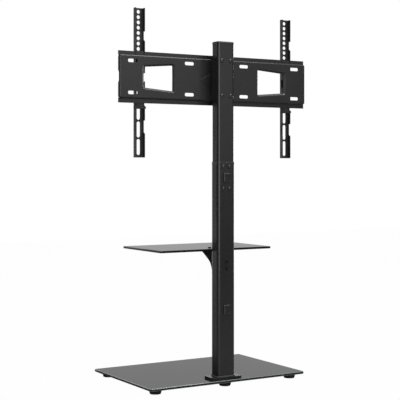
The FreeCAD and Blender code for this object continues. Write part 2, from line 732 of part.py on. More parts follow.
def tongue(sketch, rear):
    """Outline of the bracket's top: parallel sides that taper to a narrow nose."""
    outline(sketch, [
        ("-sizes.bracket_width / 2", rear),
        ("sizes.bracket_width / 2", rear),
        ("sizes.bracket_width / 2", "-sizes.gusset_reach"),
        ("sizes.bracket_nose / 2", "-sizes.bracket_reach"),
        ("-sizes.bracket_nose / 2", "-sizes.bracket_reach"),
        ("-sizes.bracket_width / 2", "-sizes.gusset_reach"),
    ])


bracket_screw_places = [("0", f"{level} - sizes.column_front") for level in shelf_screw_levels]
bracket_bolt_places = [("0", f"{level} - sizes.bracket_top") for level in bracket_levels]

bracket = new_body("shelf_bracket", y="sizes.column_front", z="sizes.bracket_top")
bracket_back = new_sketch(bracket, "back", "XZ_Plane")
rectangle(bracket_back, "-sizes.bracket_width / 2", "sizes.bracket_width / 2", "-sizes.bracket_height", "0")
pad(bracket, bracket_back, "sizes.bracket_sheet")
for side_name, inner in (("left", "sizes.bracket_width / 2 - sizes.bracket_sheet"),
                         ("right", "-sizes.bracket_width / 2")):
    gusset = new_sketch(bracket, f"{side_name}_gusset", "YZ_Plane", inner)
    outline(gusset, [
        ("-sizes.bracket_sheet", "0"),
        ("-sizes.gusset_reach", "0"),
        ("-sizes.gusset_knee_reach", "-sizes.gusset_knee_drop"),
        ("-sizes.gusset_knee_reach", "-sizes.gusset_height"),
        ("-sizes.bracket_sheet", "-sizes.gusset_height"),
    ])
    pad(bracket, gusset, "sizes.bracket_sheet")
gusset_arc = new_sketch(bracket, "gusset_arc", "YZ_Plane")
circle(gusset_arc, "-sizes.bracket_sheet - sizes.gusset_arc_radius", "-sizes.gusset_arc_drop",
       "sizes.gusset_arc_radius")
pocket(bracket, gusset_arc, both_ways=True)
bracket_tongue = new_sketch(bracket, "tongue", "XY_Plane")
tongue(bracket_tongue, "0")
pad(bracket, bracket_tongue, "sizes.bracket_sheet", reverse=True)
drill(bracket, "bolt_holes", "XZ_Plane", bracket_bolt_places, "sizes.hole_radius", reverse=True)
drill(bracket, "screw_holes", "XY_Plane", bracket_screw_places, "sizes.hole_radius")

shelf_pad = new_body("shelf_pad", y="sizes.column_front", z="sizes.bracket_top")
shelf_pad_profile = new_sketch(shelf_pad, "profile", "XY_Plane")
tongue(shelf_pad_profile, "-sizes.shelf_gap")
pad(shelf_pad, shelf_pad_profile, "sizes.shelf_pad_thick")
drill(shelf_pad, "screw_holes", "XY_Plane", bracket_screw_places, "sizes.hole_radius", reverse=True)

washer = ring_master("washer", "sizes.shelf_washer_radius", "sizes.hole_radius", "sizes.shelf_washer_thick")
set_of("shelf_washers", washer, [("0", level, "sizes.shelf_top") for level in shelf_screw_levels])
shelf_screw = bolt_master("shelf_screw", "sizes.bolt_radius", "sizes.shelf_screw_length", *low_head_sizes)
set_of("shelf_screws", shelf_screw,
       [("0", level, "sizes.shelf_top + sizes.shelf_washer_thick") for level in shelf_screw_levels])
set_of("shelf_nuts", nut,
       [("0", level, "sizes.bracket_top - sizes.bracket_sheet - sizes.nut_thick") for level in shelf_screw_levels])
bracket_bolt = bolt_master("bracket_bolt", "sizes.bolt_radius", "sizes.bracket_bolt_length", *low_head_sizes)
set_of("shelf_bracket_bolts", bracket_bolt, [("0", "sizes.column_rear", level) for level in bracket_levels],
       head_to_rear)
set_of("shelf_bracket_nuts", nut,
       [("0", "sizes.column_front - sizes.bracket_sheet - sizes.nut_thick", level) for level in bracket_levels],
       head_to_rear)


# Mounting plate, its spacer and their bolts

spacer = new_body("mount_spacer", y="sizes.upper_front", z="sizes.mount_bolt_z")
spacer_profile = new_sketch(spacer, "profile", "XY_Plane", "-sizes.spacer_height / 2")
outline(spacer_profile, [
    ("-sizes.spacer_width / 2", "0"),
    ("sizes.spacer_width / 2", "0"),
    ("sizes.spacer_width / 2", "-sizes.plate_standoff"),
    ("sizes.spacer_width / 2 - sizes.spacer_sheet", "-sizes.plate_standoff"),
    ("sizes.spacer_width / 2 - sizes.spacer_sheet", "-sizes.spacer_sheet"),
    ("-sizes.spacer_width / 2 + sizes.spacer_sheet", "-sizes.spacer_sheet"),
    ("-sizes.spacer_width / 2 + sizes.spacer_sheet", "-sizes.plate_standoff"),
    ("-sizes.spacer_width / 2", "-sizes.plate_standoff"),
])
pad(spacer, spacer_profile, "sizes.spacer_height")
drill(spacer, "holes", "XZ_Plane", four_places("sizes.mount_bolt_x", "sizes.mount_bolt_pitch / 2"),
      "sizes.hole_radius", reverse=True)
spacer_relief = new_sketch(spacer, "relief", "YZ_Plane")
rectangle(spacer_relief, "-sizes.plate_standoff",
          "-sizes.plate_standoff + sizes.emboss_rise + sizes.spacer_relief",
          "-sizes.mount_bolt_lift - sizes.emboss_half_height", "-sizes.mount_bolt_lift + sizes.emboss_half_height")
pocket(spacer, spacer_relief, both_ways=True)

plate = new_body("mount_plate", y="sizes.plate_rear", z="sizes.plate_z")
half_length = size("plate_length") / 2
half_face = size("plate_face_height") / 2
plate_face = new_sketch(plate, "face", "XZ_Plane")
centred(plate_face, "sizes.plate_length", "sizes.plate_face_height")
pad(plate, plate_face, "sizes.plate_total")
plate_tray = new_sketch(plate, "tray", "XZ_Plane", "sizes.plate_total")
centred(plate_tray, "sizes.plate_length - 2 * sizes.plate_sheet",
        "sizes.plate_face_height - 2 * sizes.plate_sheet")
pocket(plate, plate_tray, "sizes.plate_step")
dress(plate, "Fillet", "tray_corners", "sizes.plate_corner - sizes.plate_sheet",
      lambda edge: at_corner(edge, "Y", half_length - size("plate_sheet"), half_face - size("plate_sheet")))
dress(plate, "Fillet", "corners", "sizes.plate_corner",
      lambda edge: at_corner(edge, "Y", half_length, half_face))
dress(plate, "Fillet", "bend", "sizes.plate_bend", lambda edge: lies_at(edge, "Y", 0))
plate_lips = new_sketch(plate, "lips", "XZ_Plane", "sizes.plate_total")
lip_root = "(sizes.plate_face_height / 2 - sizes.plate_sheet / 2)"
rectangle(plate_lips, "-sizes.plate_length / 2", "sizes.plate_length / 2", lip_root, "sizes.upper_lip_reach")
rectangle(plate_lips, "-sizes.plate_length / 2", "sizes.plate_length / 2", "-sizes.lower_lip_reach",
          f"-{lip_root}")
pad(plate, plate_lips, "sizes.plate_sheet", reverse=True)


def windows(sketch, margin="0"):
    """A trapezium on each side of the middle, taller towards it."""
    for side in (-1, 1):
        inner_x = f"{side} * (sizes.window_inner_x - {margin})"
        outer_x = f"{side} * (sizes.window_outer_x + {margin})"
        inner_z = f"(sizes.window_inner_half + {margin})"
        outer_z = f"(sizes.window_outer_half + {margin})"
        outline(sketch, [(inner_x, f"-{inner_z}"), (outer_x, f"-{outer_z}"), (outer_x, outer_z),
                         (inner_x, inner_z)])


def at_window_corner(edge, margin=0):
    inner = at_corner(edge, "Y", size("window_inner_x") - margin, size("window_inner_half") + margin)
    outer = at_corner(edge, "Y", size("window_outer_x") + margin, size("window_outer_half") + margin)
    return inner or outer


def round_window(edge, level, margin=0):
    """Edge at that level of the plate round a window, or round the rim that stands about it."""
    low, high = span(edge, "X")
    return lies_at(edge, "Y", level) \
        and min(abs(low), abs(high)) > size("window_inner_x") - margin - near \
        and reach(edge, "X") < size("window_outer_x") + margin + near \
        and reach(edge, "Z") < size("window_inner_half") + margin + near


window_rings = new_sketch(plate, "window_rings", "XZ_Plane", "sizes.plate_sheet / 2")
windows(window_rings, "sizes.window_edge")
pad(plate, window_rings, "sizes.plate_sheet / 2 + sizes.window_flange")
window_cuts = new_sketch(plate, "window_cuts", "XZ_Plane")
windows(window_cuts)
pocket(plate, window_cuts, reverse=True)
dress(plate, "Fillet", "window_corners", "sizes.window_corner", at_window_corner)
dress(plate, "Fillet", "ring_corners", "sizes.window_corner + sizes.window_edge",
      lambda edge: at_window_corner(edge, size("window_edge")))
rim_front = -size("plate_sheet") - size("window_flange")
dress(plate, "Chamfer", "window_slope", "sizes.window_slope", lambda edge: round_window(edge, 0))
dress(plate, "Chamfer", "rim_slope", "sizes.window_edge - sizes.plate_sheet",
      lambda edge: round_window(edge, rim_front, size("window_edge")) and not round_window(edge, rim_front))

slot_cuts = new_sketch(plate, "slots", "XZ_Plane")
for side in (-1, 1):
    for column in ("inner", "outer"):
        for end in (-1, 1):
            slot_x = f"{side} * sizes.{column}_slot_x"
            slot_z = f"{end} * sizes.slot_rise"
            rectangle(slot_cuts, f"{slot_x} - sizes.slot_length / 2", f"{slot_x} + sizes.slot_length / 2",
                      f"{slot_z} - sizes.slot_height / 2", f"{slot_z} + sizes.slot_height / 2")
pocket(plate, slot_cuts, reverse=True)


def at_slot_corner(edge):
    ends = [size(f"{column}_slot_x") + end * size("slot_length") / 2
            for column in ("inner", "outer") for end in (-1, 1)]
    levels = [size("slot_rise") + end * size("slot_height") / 2 for end in (-1, 1)]
    return any(at_corner(edge, "Y", end, level) for end in ends for level in levels)


dress(plate, "Fillet", "slot_corners", "sizes.slot_corner", at_slot_corner)
drill(plate, "bolt_holes", "XZ_Plane",
      four_places("sizes.mount_bolt_x", "sizes.mount_bolt_pitch / 2", "sizes.mount_bolt_lift"),
      "sizes.hole_radius", reverse=True)
emboss = new_sketch(plate, "emboss", "XZ_Plane")
outline(emboss, [
    ("-sizes.emboss_half_width", "0"),
    ("0", "-sizes.emboss_half_height"),
    ("sizes.emboss_half_width", "0"),
    ("0", "sizes.emboss_half_height"),
])
pad(plate, emboss, "sizes.emboss_rise", reverse=True)
dress(plate, "Chamfer", "emboss_slope", "sizes.emboss_slope",
      lambda edge: lies_at(edge, "Y", size("emboss_rise")))
end_notches = new_sketch(plate, "end_notches", "YZ_Plane")
outline(end_notches, [
    ("-sizes.plate_total", "-sizes.end_notch_mouth / 2"),
    ("-sizes.plate_total + sizes.end_notch_depth", "-sizes.end_notch_floor / 2"),
    ("-sizes.plate_total + sizes.end_notch_depth", "sizes.end_notch_floor / 2"),
    ("-sizes.plate_total", "sizes.end_notch_mouth / 2"),
])
pocket(plate, end_notches, both_ways=True)

mount_bolt = bolt_master("mount_bolt", "sizes.bolt_radius", "sizes.mount_bolt_length", *head_sizes)
set_of("mount_bolts", mount_bolt, [(x, "sizes.upper_rear", z) for x, z in mount_places], head_to_rear)
set_of("mount_nuts", nut,
       [(x, "sizes.plate_rear - sizes.plate_sheet - sizes.nut_thick", z) for x, z in mount_places],
       head_to_rear)


# Mounting arms, their lock screws and lock blocks

def arm(label, x):
    """Channel with its web to the front; its flanges hook over the upper lip of the plate."""
    body = new_body(label, x=x, y="sizes.arm_front")
    profile = new_sketch(body, "profile", "XY_Plane", "sizes.arm_bottom")
    half = "(sizes.arm_width / 2)"
    inner = "(sizes.arm_width / 2 - sizes.arm_sheet)"
    outline(profile, [
        (f"-{half}", "0"),
        (half, "0"),
        (half, "sizes.arm_depth"),
        (inner, "sizes.arm_depth"),
        (inner, "sizes.arm_sheet"),
        (f"-{inner}", "sizes.arm_sheet"),
        (f"-{inner}", "sizes.arm_depth"),
        (f"-{half}", "sizes.arm_depth"),
    ])
    pad(body, profile, "sizes.arm_length")
    dress(body, "Fillet", "bends", "sizes.arm_bend", lambda edge: runs_along(edge, "Z") and lies_at(edge, "Y", 0))

    hole = new_sketch(body, "hole", "XZ_Plane")
    circle(hole, "0", "sizes.arm_top - sizes.arm_hole_end", "sizes.arm_hole_radius")
    holes = pocket(body, hole)
    row_of(body, [holes], hole, "sizes.arm_hole_pitch", "sizes.arm_hole_count", reverse=True)

    slot = new_sketch(body, "slot", "XZ_Plane")
    slot_half = "(sizes.arm_slot_width / 2)"
    slot_low = f"(sizes.arm_bottom + sizes.arm_slot_end + {slot_half})"
    slot_high = f"({slot_low} + sizes.arm_slot_length - sizes.arm_slot_width)"
    rectangle(slot, f"-{slot_half}", slot_half, slot_low, slot_high)
    slot_cut = pocket(body, slot)
    slot_ends = new_sketch(body, "slot_ends", "XZ_Plane")
    for level in (slot_low, slot_high):
        circle(slot_ends, "0", level, slot_half)
    slot_ends_cut = pocket(body, slot_ends)
    row_of(body, [slot_cut, slot_ends_cut], slot, "sizes.arm_slot_pitch", "sizes.arm_slot_count")

    notches = new_sketch(body, "notches", "YZ_Plane")
    rear = "sizes.arm_depth"
    floor = "(sizes.arm_depth - sizes.notch_depth)"
    for place in ("upper", "middle", "lower"):
        notch_top = f"(sizes.arm_top - sizes.{place}_notch_drop)"
        notch_bottom = f"({notch_top} - sizes.{place}_notch_length)"
        outline(notches, [(rear, notch_bottom), (rear, notch_top), (floor, notch_top),
                          (floor, f"{notch_bottom} + sizes.notch_slant")])
    ledge_low = "sizes.ledge_top - sizes.plate_sheet - sizes.hook_gap"
    ledge_high = "sizes.ledge_top + sizes.hook_gap"
    hook_high = "sizes.lip_top + sizes.hook_seat"
    outline(notches, [
        (rear, ledge_low),
        ("sizes.hook_front", ledge_low),
        ("sizes.hook_front", hook_high),
        ("sizes.hook_rear", hook_high),
        ("sizes.hook_rear", ledge_high),
        (rear, ledge_high),
    ])
    lock_high = "sizes.ledge_bottom + sizes.plate_sheet + sizes.hook_gap"
    lock_low = "sizes.lip_bottom - sizes.lock_relief"
    outline(notches, [
        (rear, lock_high),
        ("sizes.hook_front", lock_high),
        ("sizes.hook_front", lock_low),
        (rear, f"{lock_low} - sizes.notch_slant"),
    ])
    pocket(body, notches, both_ways=True)
    drill(body, "lock_holes", "YZ_Plane", [("sizes.lock_screw_y", "sizes.lock_screw_z")],
          "sizes.lock_screw_radius + sizes.bolt_clearance", both_ways=True)


def lock_block(label, x):
    """Stepped block in the channel on the lock screw: its top stands in front of the plate's lower lip."""
    body = new_body(label, x=x, y="sizes.arm_front")
    profile = new_sketch(body, "profile", "YZ_Plane", "-sizes.lock_block_width / 2")
    front = "sizes.arm_sheet + sizes.lock_block_gap"
    low = "sizes.lock_screw_z - sizes.lock_block_below"
    step = "sizes.lip_bottom - sizes.lock_block_step"
    high = "sizes.lip_bottom + sizes.lock_block_above"
    outline(profile, [
        (front, low),
        ("sizes.lock_block_rear", low),
        ("sizes.lock_block_rear", step),
        ("sizes.lock_block_front", step),
        ("sizes.lock_block_front", high),
        (front, high),
    ])
    pad(body, profile, "sizes.lock_block_width")
    drill(body, "bore", "YZ_Plane", [("sizes.lock_screw_y", "sizes.lock_screw_z")],
          "sizes.lock_screw_radius + sizes.bolt_clearance", both_ways=True)


lock_screw = bolt_master("lock_screw", "sizes.lock_screw_radius", "sizes.lock_screw_length",
                         "sizes.lock_head_radius", "sizes.lock_head_height", "sizes.lock_head_round",
                         "sizes.lock_socket", "sizes.socket_depth")
lock_nut = nut_master("lock_nut", "sizes.lock_nut_across", "sizes.lock_screw_radius + sizes.thread_gap",
                      "sizes.lock_nut_thick")
for side_name, arm_x in (("left", "sizes.arm_left_x"), ("right", "-sizes.arm_right_x")):
    arm(f"arm_{side_name}", arm_x)
    lock_block(f"lock_block_{side_name}", arm_x)
    lock_y = "sizes.arm_front + sizes.lock_screw_y"
    set_of(f"lock_screw_{side_name}", lock_screw,
           [(f"{arm_x} - sizes.arm_width / 2", lock_y, "sizes.lock_screw_z")], head_to_right)
    set_of(f"lock_nut_{side_name}", lock_nut,
           [(f"{arm_x} + sizes.arm_width / 2 + sizes.lock_nut_thick", lock_y, "sizes.lock_screw_z")], head_to_right)


# Every piece has to be sound before any is written

doc.recompute()
for item in doc.Objects:
    if "Invalid" in item.State or "Error" in item.State:
        raise ValueError(f"{item.Label} failed: {item.State}")
for node in nodes:
    if node.Shape.isNull() or not node.Shape.isValid() or not node.Shape.Solids:
        raise ValueError(f"{node.Label} has no sound solid")

os.makedirs("parts", exist_ok=True)
for node in nodes:
    node.Shape.exportStep(f"parts/{node.Label}.step")
print(f"{len(nodes)} pieces written")
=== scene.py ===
import json
import math

import bpy
import numpy as np
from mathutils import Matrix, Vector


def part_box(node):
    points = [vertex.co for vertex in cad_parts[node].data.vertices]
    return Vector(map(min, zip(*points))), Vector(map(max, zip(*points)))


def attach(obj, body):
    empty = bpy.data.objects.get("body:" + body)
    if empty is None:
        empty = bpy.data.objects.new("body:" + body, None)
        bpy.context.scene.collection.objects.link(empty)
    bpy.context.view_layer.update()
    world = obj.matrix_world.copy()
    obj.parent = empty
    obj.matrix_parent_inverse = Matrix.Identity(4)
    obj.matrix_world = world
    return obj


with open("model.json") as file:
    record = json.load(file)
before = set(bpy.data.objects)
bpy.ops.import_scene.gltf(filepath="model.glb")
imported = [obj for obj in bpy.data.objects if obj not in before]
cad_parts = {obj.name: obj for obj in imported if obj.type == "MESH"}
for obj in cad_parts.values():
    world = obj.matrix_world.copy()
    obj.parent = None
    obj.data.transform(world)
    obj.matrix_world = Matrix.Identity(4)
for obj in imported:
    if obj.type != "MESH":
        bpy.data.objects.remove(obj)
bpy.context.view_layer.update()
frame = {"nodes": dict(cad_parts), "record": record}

nodes = frame["nodes"]
scene = bpy.context.scene
print("frame loaded:", len(nodes), "nodes")

# camera: level, behind the stand, lens shifted down

cameraSetup = {
    "place": (1.7461, 2.9108, 0.6477),  # metres
    "turn": math.radians(148.97),       # about Z
    "lens": 99.0, "sensor": 36.0,       # mm
    "shiftDown": 0.0823,                # share of the frame
}

cameraData = bpy.data.cameras.new("camera")
cameraData.lens = cameraSetup["lens"]
cameraData.sensor_width = cameraSetup["sensor"]
cameraData.shift_y = -cameraSetup["shiftDown"]
camera = bpy.data.objects.new("camera", cameraData)
camera.location = cameraSetup["place"]
camera.rotation_euler = (0.5 * math.pi, 0.0, cameraSetup["turn"])  # a quarter turn about X looks level
scene.collection.objects.link(camera)
scene.camera = camera
scene.view_settings.view_transform = "Standard"
print("camera placed")


# finishes: what they are built from

def feed(tree, step, inputs):
    # each input takes a link from another step's socket, or a plain value
    for key, value in inputs.items():
        if isinstance(value, bpy.types.NodeSocket):
            tree.links.new(value, step.inputs[key])
        else:
            step.inputs[key].default_value = value


def addStep(tree, kind, inputs, **settings):
    made = tree.nodes.new(kind)
    for key, value in settings.items():
        setattr(made, key, value)
    feed(tree, made, inputs)
    return made


def mathStep(tree, operation, *values):
    return addStep(tree, "ShaderNodeMath", dict(enumerate(values)), operation=operation).outputs["Value"]


mixSockets = {"FLOAT": (2, 3, 0), "RGBA": (6, 7, 2)}  # numbers of the mix step's two inputs and its result


def mixed(tree, kind, share, first, second):
    # first where the share is nought, second where it is one
    firstInput, secondInput, result = mixSockets[kind]
    inputs = {0: share, firstInput: first, secondInput: second}
    return addStep(tree, "ShaderNodeMix", inputs, data_type=kind).outputs[result]


noiseSpan = (0.3, 0.7)  # where most values of the noise lie


def ramped(tree, value, low, high, span=noiseSpan):
    # straight ramp from low to high while the value crosses the span
    inputs = {"Value": value, "From Min": span[0], "From Max": span[1], "To Min": low, "To Max": high}
    return addStep(tree, "ShaderNodeMapRange", inputs).outputs["Result"]


def noiseAt(tree, place, scale, detail):
    inputs = {"Vector": place, "Scale": scale, "Detail": detail}
    return addStep(tree, "ShaderNodeTexNoise", inputs).outputs["Fac"]


def objectPlace(tree):
    return addStep(tree, "ShaderNodeTexCoord", {}).outputs["Object"]


def faceLevel(tree):
    # nought where a face stands upright, one where it lies flat
    normal = addStep(tree, "ShaderNodeNewGeometry", {}).outputs["Normal"]
    upward = addStep(tree, "ShaderNodeSeparateXYZ", {"Vector": normal}).outputs["Z"]
    return mathStep(tree, "ABSOLUTE", upward)


def newFinish(name):
    finish = bpy.data.materials.new(name)
    finish.use_nodes = True
    tree = finish.node_tree
    return finish, tree, tree.nodes["Principled BSDF"]


def grey(level):
    return (level, level, level, 1.0)


def dulledSlopes(tree, place, rough, zone):
    # inside an upright rectangle, faces that lean out of the sheet are as rough as the zone says
    centred = addStep(tree, "ShaderNodeVectorMath", {0: place, 1: zone["middle"]}, operation="SUBTRACT")
    split = addStep(tree, "ShaderNodeSeparateXYZ", {"Vector": centred.outputs["Vector"]})
    dull = ramped(tree, faceLevel(tree), 0.0, zone["rough"], zone["lean"])
    for axis, half in zip("XZ", zone["half"]):
        distance = mathStep(tree, "ABSOLUTE", split.outputs[axis])
        dull = mathStep(tree, "MULTIPLY", dull, mathStep(tree, "LESS_THAN", distance, half))
    return mathStep(tree, "MAXIMUM", rough, dull)


# painted, plated and moulded finishes: scales are noise cells to the metre, edge and bumpDepth are metres

coatBuild = {  # what they share, unless one says otherwise
    "driftDetail": 3.0, "grainDetail": 2.0, "peelDetail": 1.0,
    "grainShare": 0.4,  # of the shade, and the rest is drift
    "edgeSamples": 6,
    "metal": 0.0, "gloss": 0.5,
}
tubeCoat = {  # smooth satin powder coat of the column
    "name": "tubeCoat",
    "dark": grey(0.0060), "light": grey(0.0085),
    "rough": (0.24, 0.32),
    "driftScale": 7.0, "grainScale": 1900.0, "peelScale": 420.0,
    "peelShare": 0.6, "bump": 0.10, "bumpDepth": 0.0004, "edge": 0.0008,
}
sheetCoat = {  # slightly rougher powder coat of the pressed sheet parts
    "name": "sheetCoat",
    "dark": grey(0.0065), "light": grey(0.0095),
    "rough": (0.32, 0.42),
    "driftScale": 9.0, "grainScale": 1500.0, "peelScale": 520.0,
    "peelShare": 0.5, "bump": 0.16, "bumpDepth": 0.0004, "edge": 0.0003,
}
plateLow, plateHigh = (np.array(corner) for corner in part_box("mount_plate"))
plateCoat = dict(sheetCoat, name="plateCoat", edge=0.0008)
plateCoat["dullSlopes"] = {  # round the plate's pressed middle
    "middle": tuple(0.5 * (plateLow + plateHigh)),
    "half": (0.062, 0.036),  # metres across and up
    "lean": (0.2, 0.4),      # where dulling starts and where it is full, nought for upright
    "rough": 1.0,
}
shadedBracketCoat = {  # painted shade: the shelf bracket's coat is dull and far darker than the same steel elsewhere, standing in for the shade under the glass shelf
    "name": "shadedBracketCoat",
    "dark": grey(0.0010), "light": grey(0.0020),
    "rough": (0.50, 0.62), "gloss": 0.05,
    "driftScale": 12.0, "grainScale": 1400.0, "peelScale": 480.0,
    "peelShare": 0.5, "bump": 0.2, "bumpDepth": 0.0004, "edge": 0.0004,
}
boltPaint = dict(shadedBracketCoat, name="boltPaint", gloss=0.2)  # the bracket's darkened colour, a little shinier, on the bracket's bolts
screwCoat = {  # black zinc on the screws, shelf washers and lock nuts
    "name": "screwCoat",
    "dark": grey(0.007), "light": grey(0.012),
    "rough": (0.24, 0.36), "gloss": 0.6,
    "driftScale": 160.0, "grainScale": 2400.0, "peelScale": 900.0,
    "peelShare": 0.5, "bump": 0.08, "bumpDepth": 0.0002, "edge": 0.0003,
}
platedSteel = {  # bright zinc on the other nuts and the nut plate
    "name": "platedSteel",
    "dark": (0.50, 0.51, 0.53, 1.0), "light": (0.62, 0.62, 0.60, 1.0),
    "rough": (0.26, 0.42), "metal": 1.0,
    "driftScale": 120.0, "grainScale": 2600.0, "peelScale": 700.0,
    "peelShare": 0.4, "bump": 0.12, "bumpDepth": 0.0002, "edge": 0.0003,
}
grainedPlastic = {  # spark eroded grain on cap, collar, grommets and bushings
    "name": "grainedPlastic",
    "dark": grey(0.009), "light": grey(0.013),
    "rough": (0.33, 0.48),
    "driftScale": 30.0, "grainScale": 2200.0, "peelScale": 1100.0,
    "peelShare": 0.5, "bump": 0.2, "bumpDepth": 0.0003, "edge": 0.0005,
}
mattRubber = {  # dull surface of feet, gaskets, shelf pad, cable flaps and lock blocks
    "name": "mattRubber",
    "dark": grey(0.008), "light": grey(0.013),
    "rough": (0.62, 0.85), "gloss": 0.4,
    "driftScale": 60.0, "grainScale": 1300.0, "peelScale": 380.0,
    "peelShare": 0.4, "bump": 0.3, "bumpDepth": 0.0004, "edge": 0.0006,
}


def texturedFinish(setup):
    # drift and grain set the shade and the roughness, grain and peel the bump, and edges are softened
    setup = {**coatBuild, **setup}
    finish, tree, shader = newFinish(setup["name"])
    place = objectPlace(tree)
    drift, grain, peel = (noiseAt(tree, place, setup[layer + "Scale"], setup[layer + "Detail"])
                          for layer in ("drift", "grain", "peel"))
    shade = mixed(tree, "FLOAT", setup["grainShare"], drift, grain)
    rough = ramped(tree, shade, *setup["rough"])
    if "dullSlopes" in setup:
        rough = dulledSlopes(tree, place, rough, setup["dullSlopes"])
    soft = addStep(tree, "ShaderNodeBevel", {"Radius": setup["edge"]}, samples=setup["edgeSamples"])
    bump = addStep(tree, "ShaderNodeBump", {
        "Height": mixed(tree, "FLOAT", setup["peelShare"], grain, peel),
        "Strength": setup["bump"],
        "Distance": setup["bumpDepth"],
        "Normal": soft.outputs["Normal"],
    })
    feed(tree, shader, {
        "Base Color": mixed(tree, "RGBA", ramped(tree, shade, 0.0, 1.0), setup["dark"], setup["light"]),
        "Roughness": rough,
        "Normal": bump.outputs["Normal"],
        "Metallic": setup["metal"],
        "Specular IOR Level": setup["gloss"],
    })
    return finish


glassSetup = {  # the base
    "name": "blackGlass",
    "face": (0.006, 0.0065, 0.007, 1.0),
    "ground": (0.18, 0.185, 0.185, 1.0),  # ground bevel
    "edge": (0.008, 0.009, 0.009, 1.0),   # upright edge
    "speckShade": 0.8,                    # the bevel's darker specks over its shade
    "faceRough": (0.05, 0.09), "groundRough": 0.42,
    "flatLevel": (0.80, 0.90),            # between these a bevel turns to face
    "uprightLevel": (0.30, 0.50),         # between these an edge turns to bevel
    "smudgeScale": 11.0, "smudgeDetail": 4.0,
    "speckScale": 900.0, "speckDetail": 1.0,
    "gloss": 0.0, "coat": 0.5, "coatRough": 0.04,  # only the coat mirrors
}
shelfGlass = dict(glassSetup, name="shelfGlass", ground=glassSetup["edge"])  # bevel as dark as the edge


def blackGlass(setup):
    # polished faces lie flat, bevels lean at 45 degrees and edges stand upright
    finish, tree, shader = newFinish(setup["name"])
    place = objectPlace(tree)
    level = faceLevel(tree)
    flat = ramped(tree, level, 0.0, 1.0, setup["flatLevel"])
    upright = ramped(tree, level, 1.0, 0.0, setup["uprightLevel"])
    smudge = noiseAt(tree, place, setup["smudgeScale"], setup["smudgeDetail"])
    speck = noiseAt(tree, place, setup["speckScale"], setup["speckDetail"])
    specked = tuple(setup["speckShade"] * part for part in setup["ground"][:3]) + (1.0,)
    colour = mixed(tree, "RGBA", ramped(tree, speck, 0.0, 1.0), setup["ground"], specked)
    colour = mixed(tree, "RGBA", upright, colour, setup["edge"])
    colour = mixed(tree, "RGBA", flat, colour, setup["face"])
    polish = ramped(tree, smudge, *setup["faceRough"])
    feed(tree, shader, {
        "Base Color": colour,
        "Roughness": mixed(tree, "FLOAT", flat, setup["groundRough"], polish),
        "Specular IOR Level": setup["gloss"],
        "Coat Weight": setup["coat"],
        "Coat Roughness": setup["coatRough"],
    })
    return finish


coats = (tubeCoat, sheetCoat, plateCoat, shadedBracketCoat, boltPaint, screwCoat, platedSteel, grainedPlastic,
         mattRubber)
finishes = {setup["name"]: texturedFinish(setup) for setup in coats}
for setup in (glassSetup, shelfGlass):
    finishes[setup["name"]] = blackGlass(setup)

finishOfSlot = {
    "coated_steel": "sheetCoat",
    "black_screws": "screwCoat",
    "plated_steel": "platedSteel",
    "black_glass": "blackGlass",
    "black_plastic": "grainedPlastic",
    "black_rubber": "mattRubber",
}
nodesOfFinish = {  # nodes that look unlike the rest of their slot
    "tubeCoat": ("lower_column", "upper_column", "column_flange"),
    "plateCoat": ("mount_plate",),
    # the shelf bracket gets the painted shade finish, darker than its steel to stand in for the shade under
    # the shelf
    "shadedBracketCoat": ("shelf_bracket",),
    "boltPaint": ("shelf_bracket_bolts",),
    "screwCoat": ("lock_nut_left", "lock_nut_right", "shelf_washers"),
    "mattRubber": ("lock_block_left", "lock_block_right"),
    "shelfGlass": ("shelf_glass",),
}
finishOfNode = {part["node"]: finishOfSlot[part["material_slot"]] for part in frame["record"]["subparts"]}
finishOfNode.update({name: finishName for finishName, group in nodesOfFinish.items() for name in group})
for name, node in nodes.items():
    node.data.materials.clear()
    node.data.materials.append(finishes[finishOfNode[name]])
print("finishes put on:", ", ".join(finishes))


# added pieces

def gridPiece(name, loops, finishName):
    # each item of loops is a run of closed rings, capped at its ends unless the run itself closes
    points, faces, start = [], [], 0
    for rings, closed in loops:
        count, around = rings.shape[:2]
        numbers = start + np.arange(count * around).reshape(count, around)
        lower = numbers if closed else numbers[:-1]
        upper = np.roll(numbers, -1, axis=0) if closed else numbers[1:]
        quads = np.stack([lower, np.roll(lower, -1, axis=1), np.roll(upper, -1, axis=1), upper], axis=-1)
        faces += quads.reshape(-1, 4).tolist()
        if not closed:
            faces += [numbers[0, ::-1].tolist(), numbers[-1].tolist()]
        points.append(rings.reshape(-1, 3))
        start += count * around
    mesh = bpy.data.meshes.new(name)
    mesh.from_pydata(np.concatenate(points).tolist(), [], faces)
    mesh.polygons.foreach_set("use_smooth", np.ones(len(mesh.polygons), dtype=bool))
    mesh.materials.append(finishes[finishName])
    piece = bpy.data.objects.new(name, mesh)
    scene.collection.objects.link(piece)
    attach(piece, "stand")


weldSetup = {
    "leg": 0.0030,           # metres from the corner to the bead's toes
    "pitch": 0.0024,         # from one ripple to the next
    "rippleShare": 0.07,     # ripple height over the leg
    "corner": 0.0085,        # column corner radius
    "sweep": (-0.08, 0.58),  # half turns, a little past both toes
    "late": 2.2,             # how far the ripple lags at the toes
    "root": -0.3,            # depth of the bead's hidden edge in the metal, over the leg
    "perRipple": 6, "across": 11, "perCorner": 48,
}


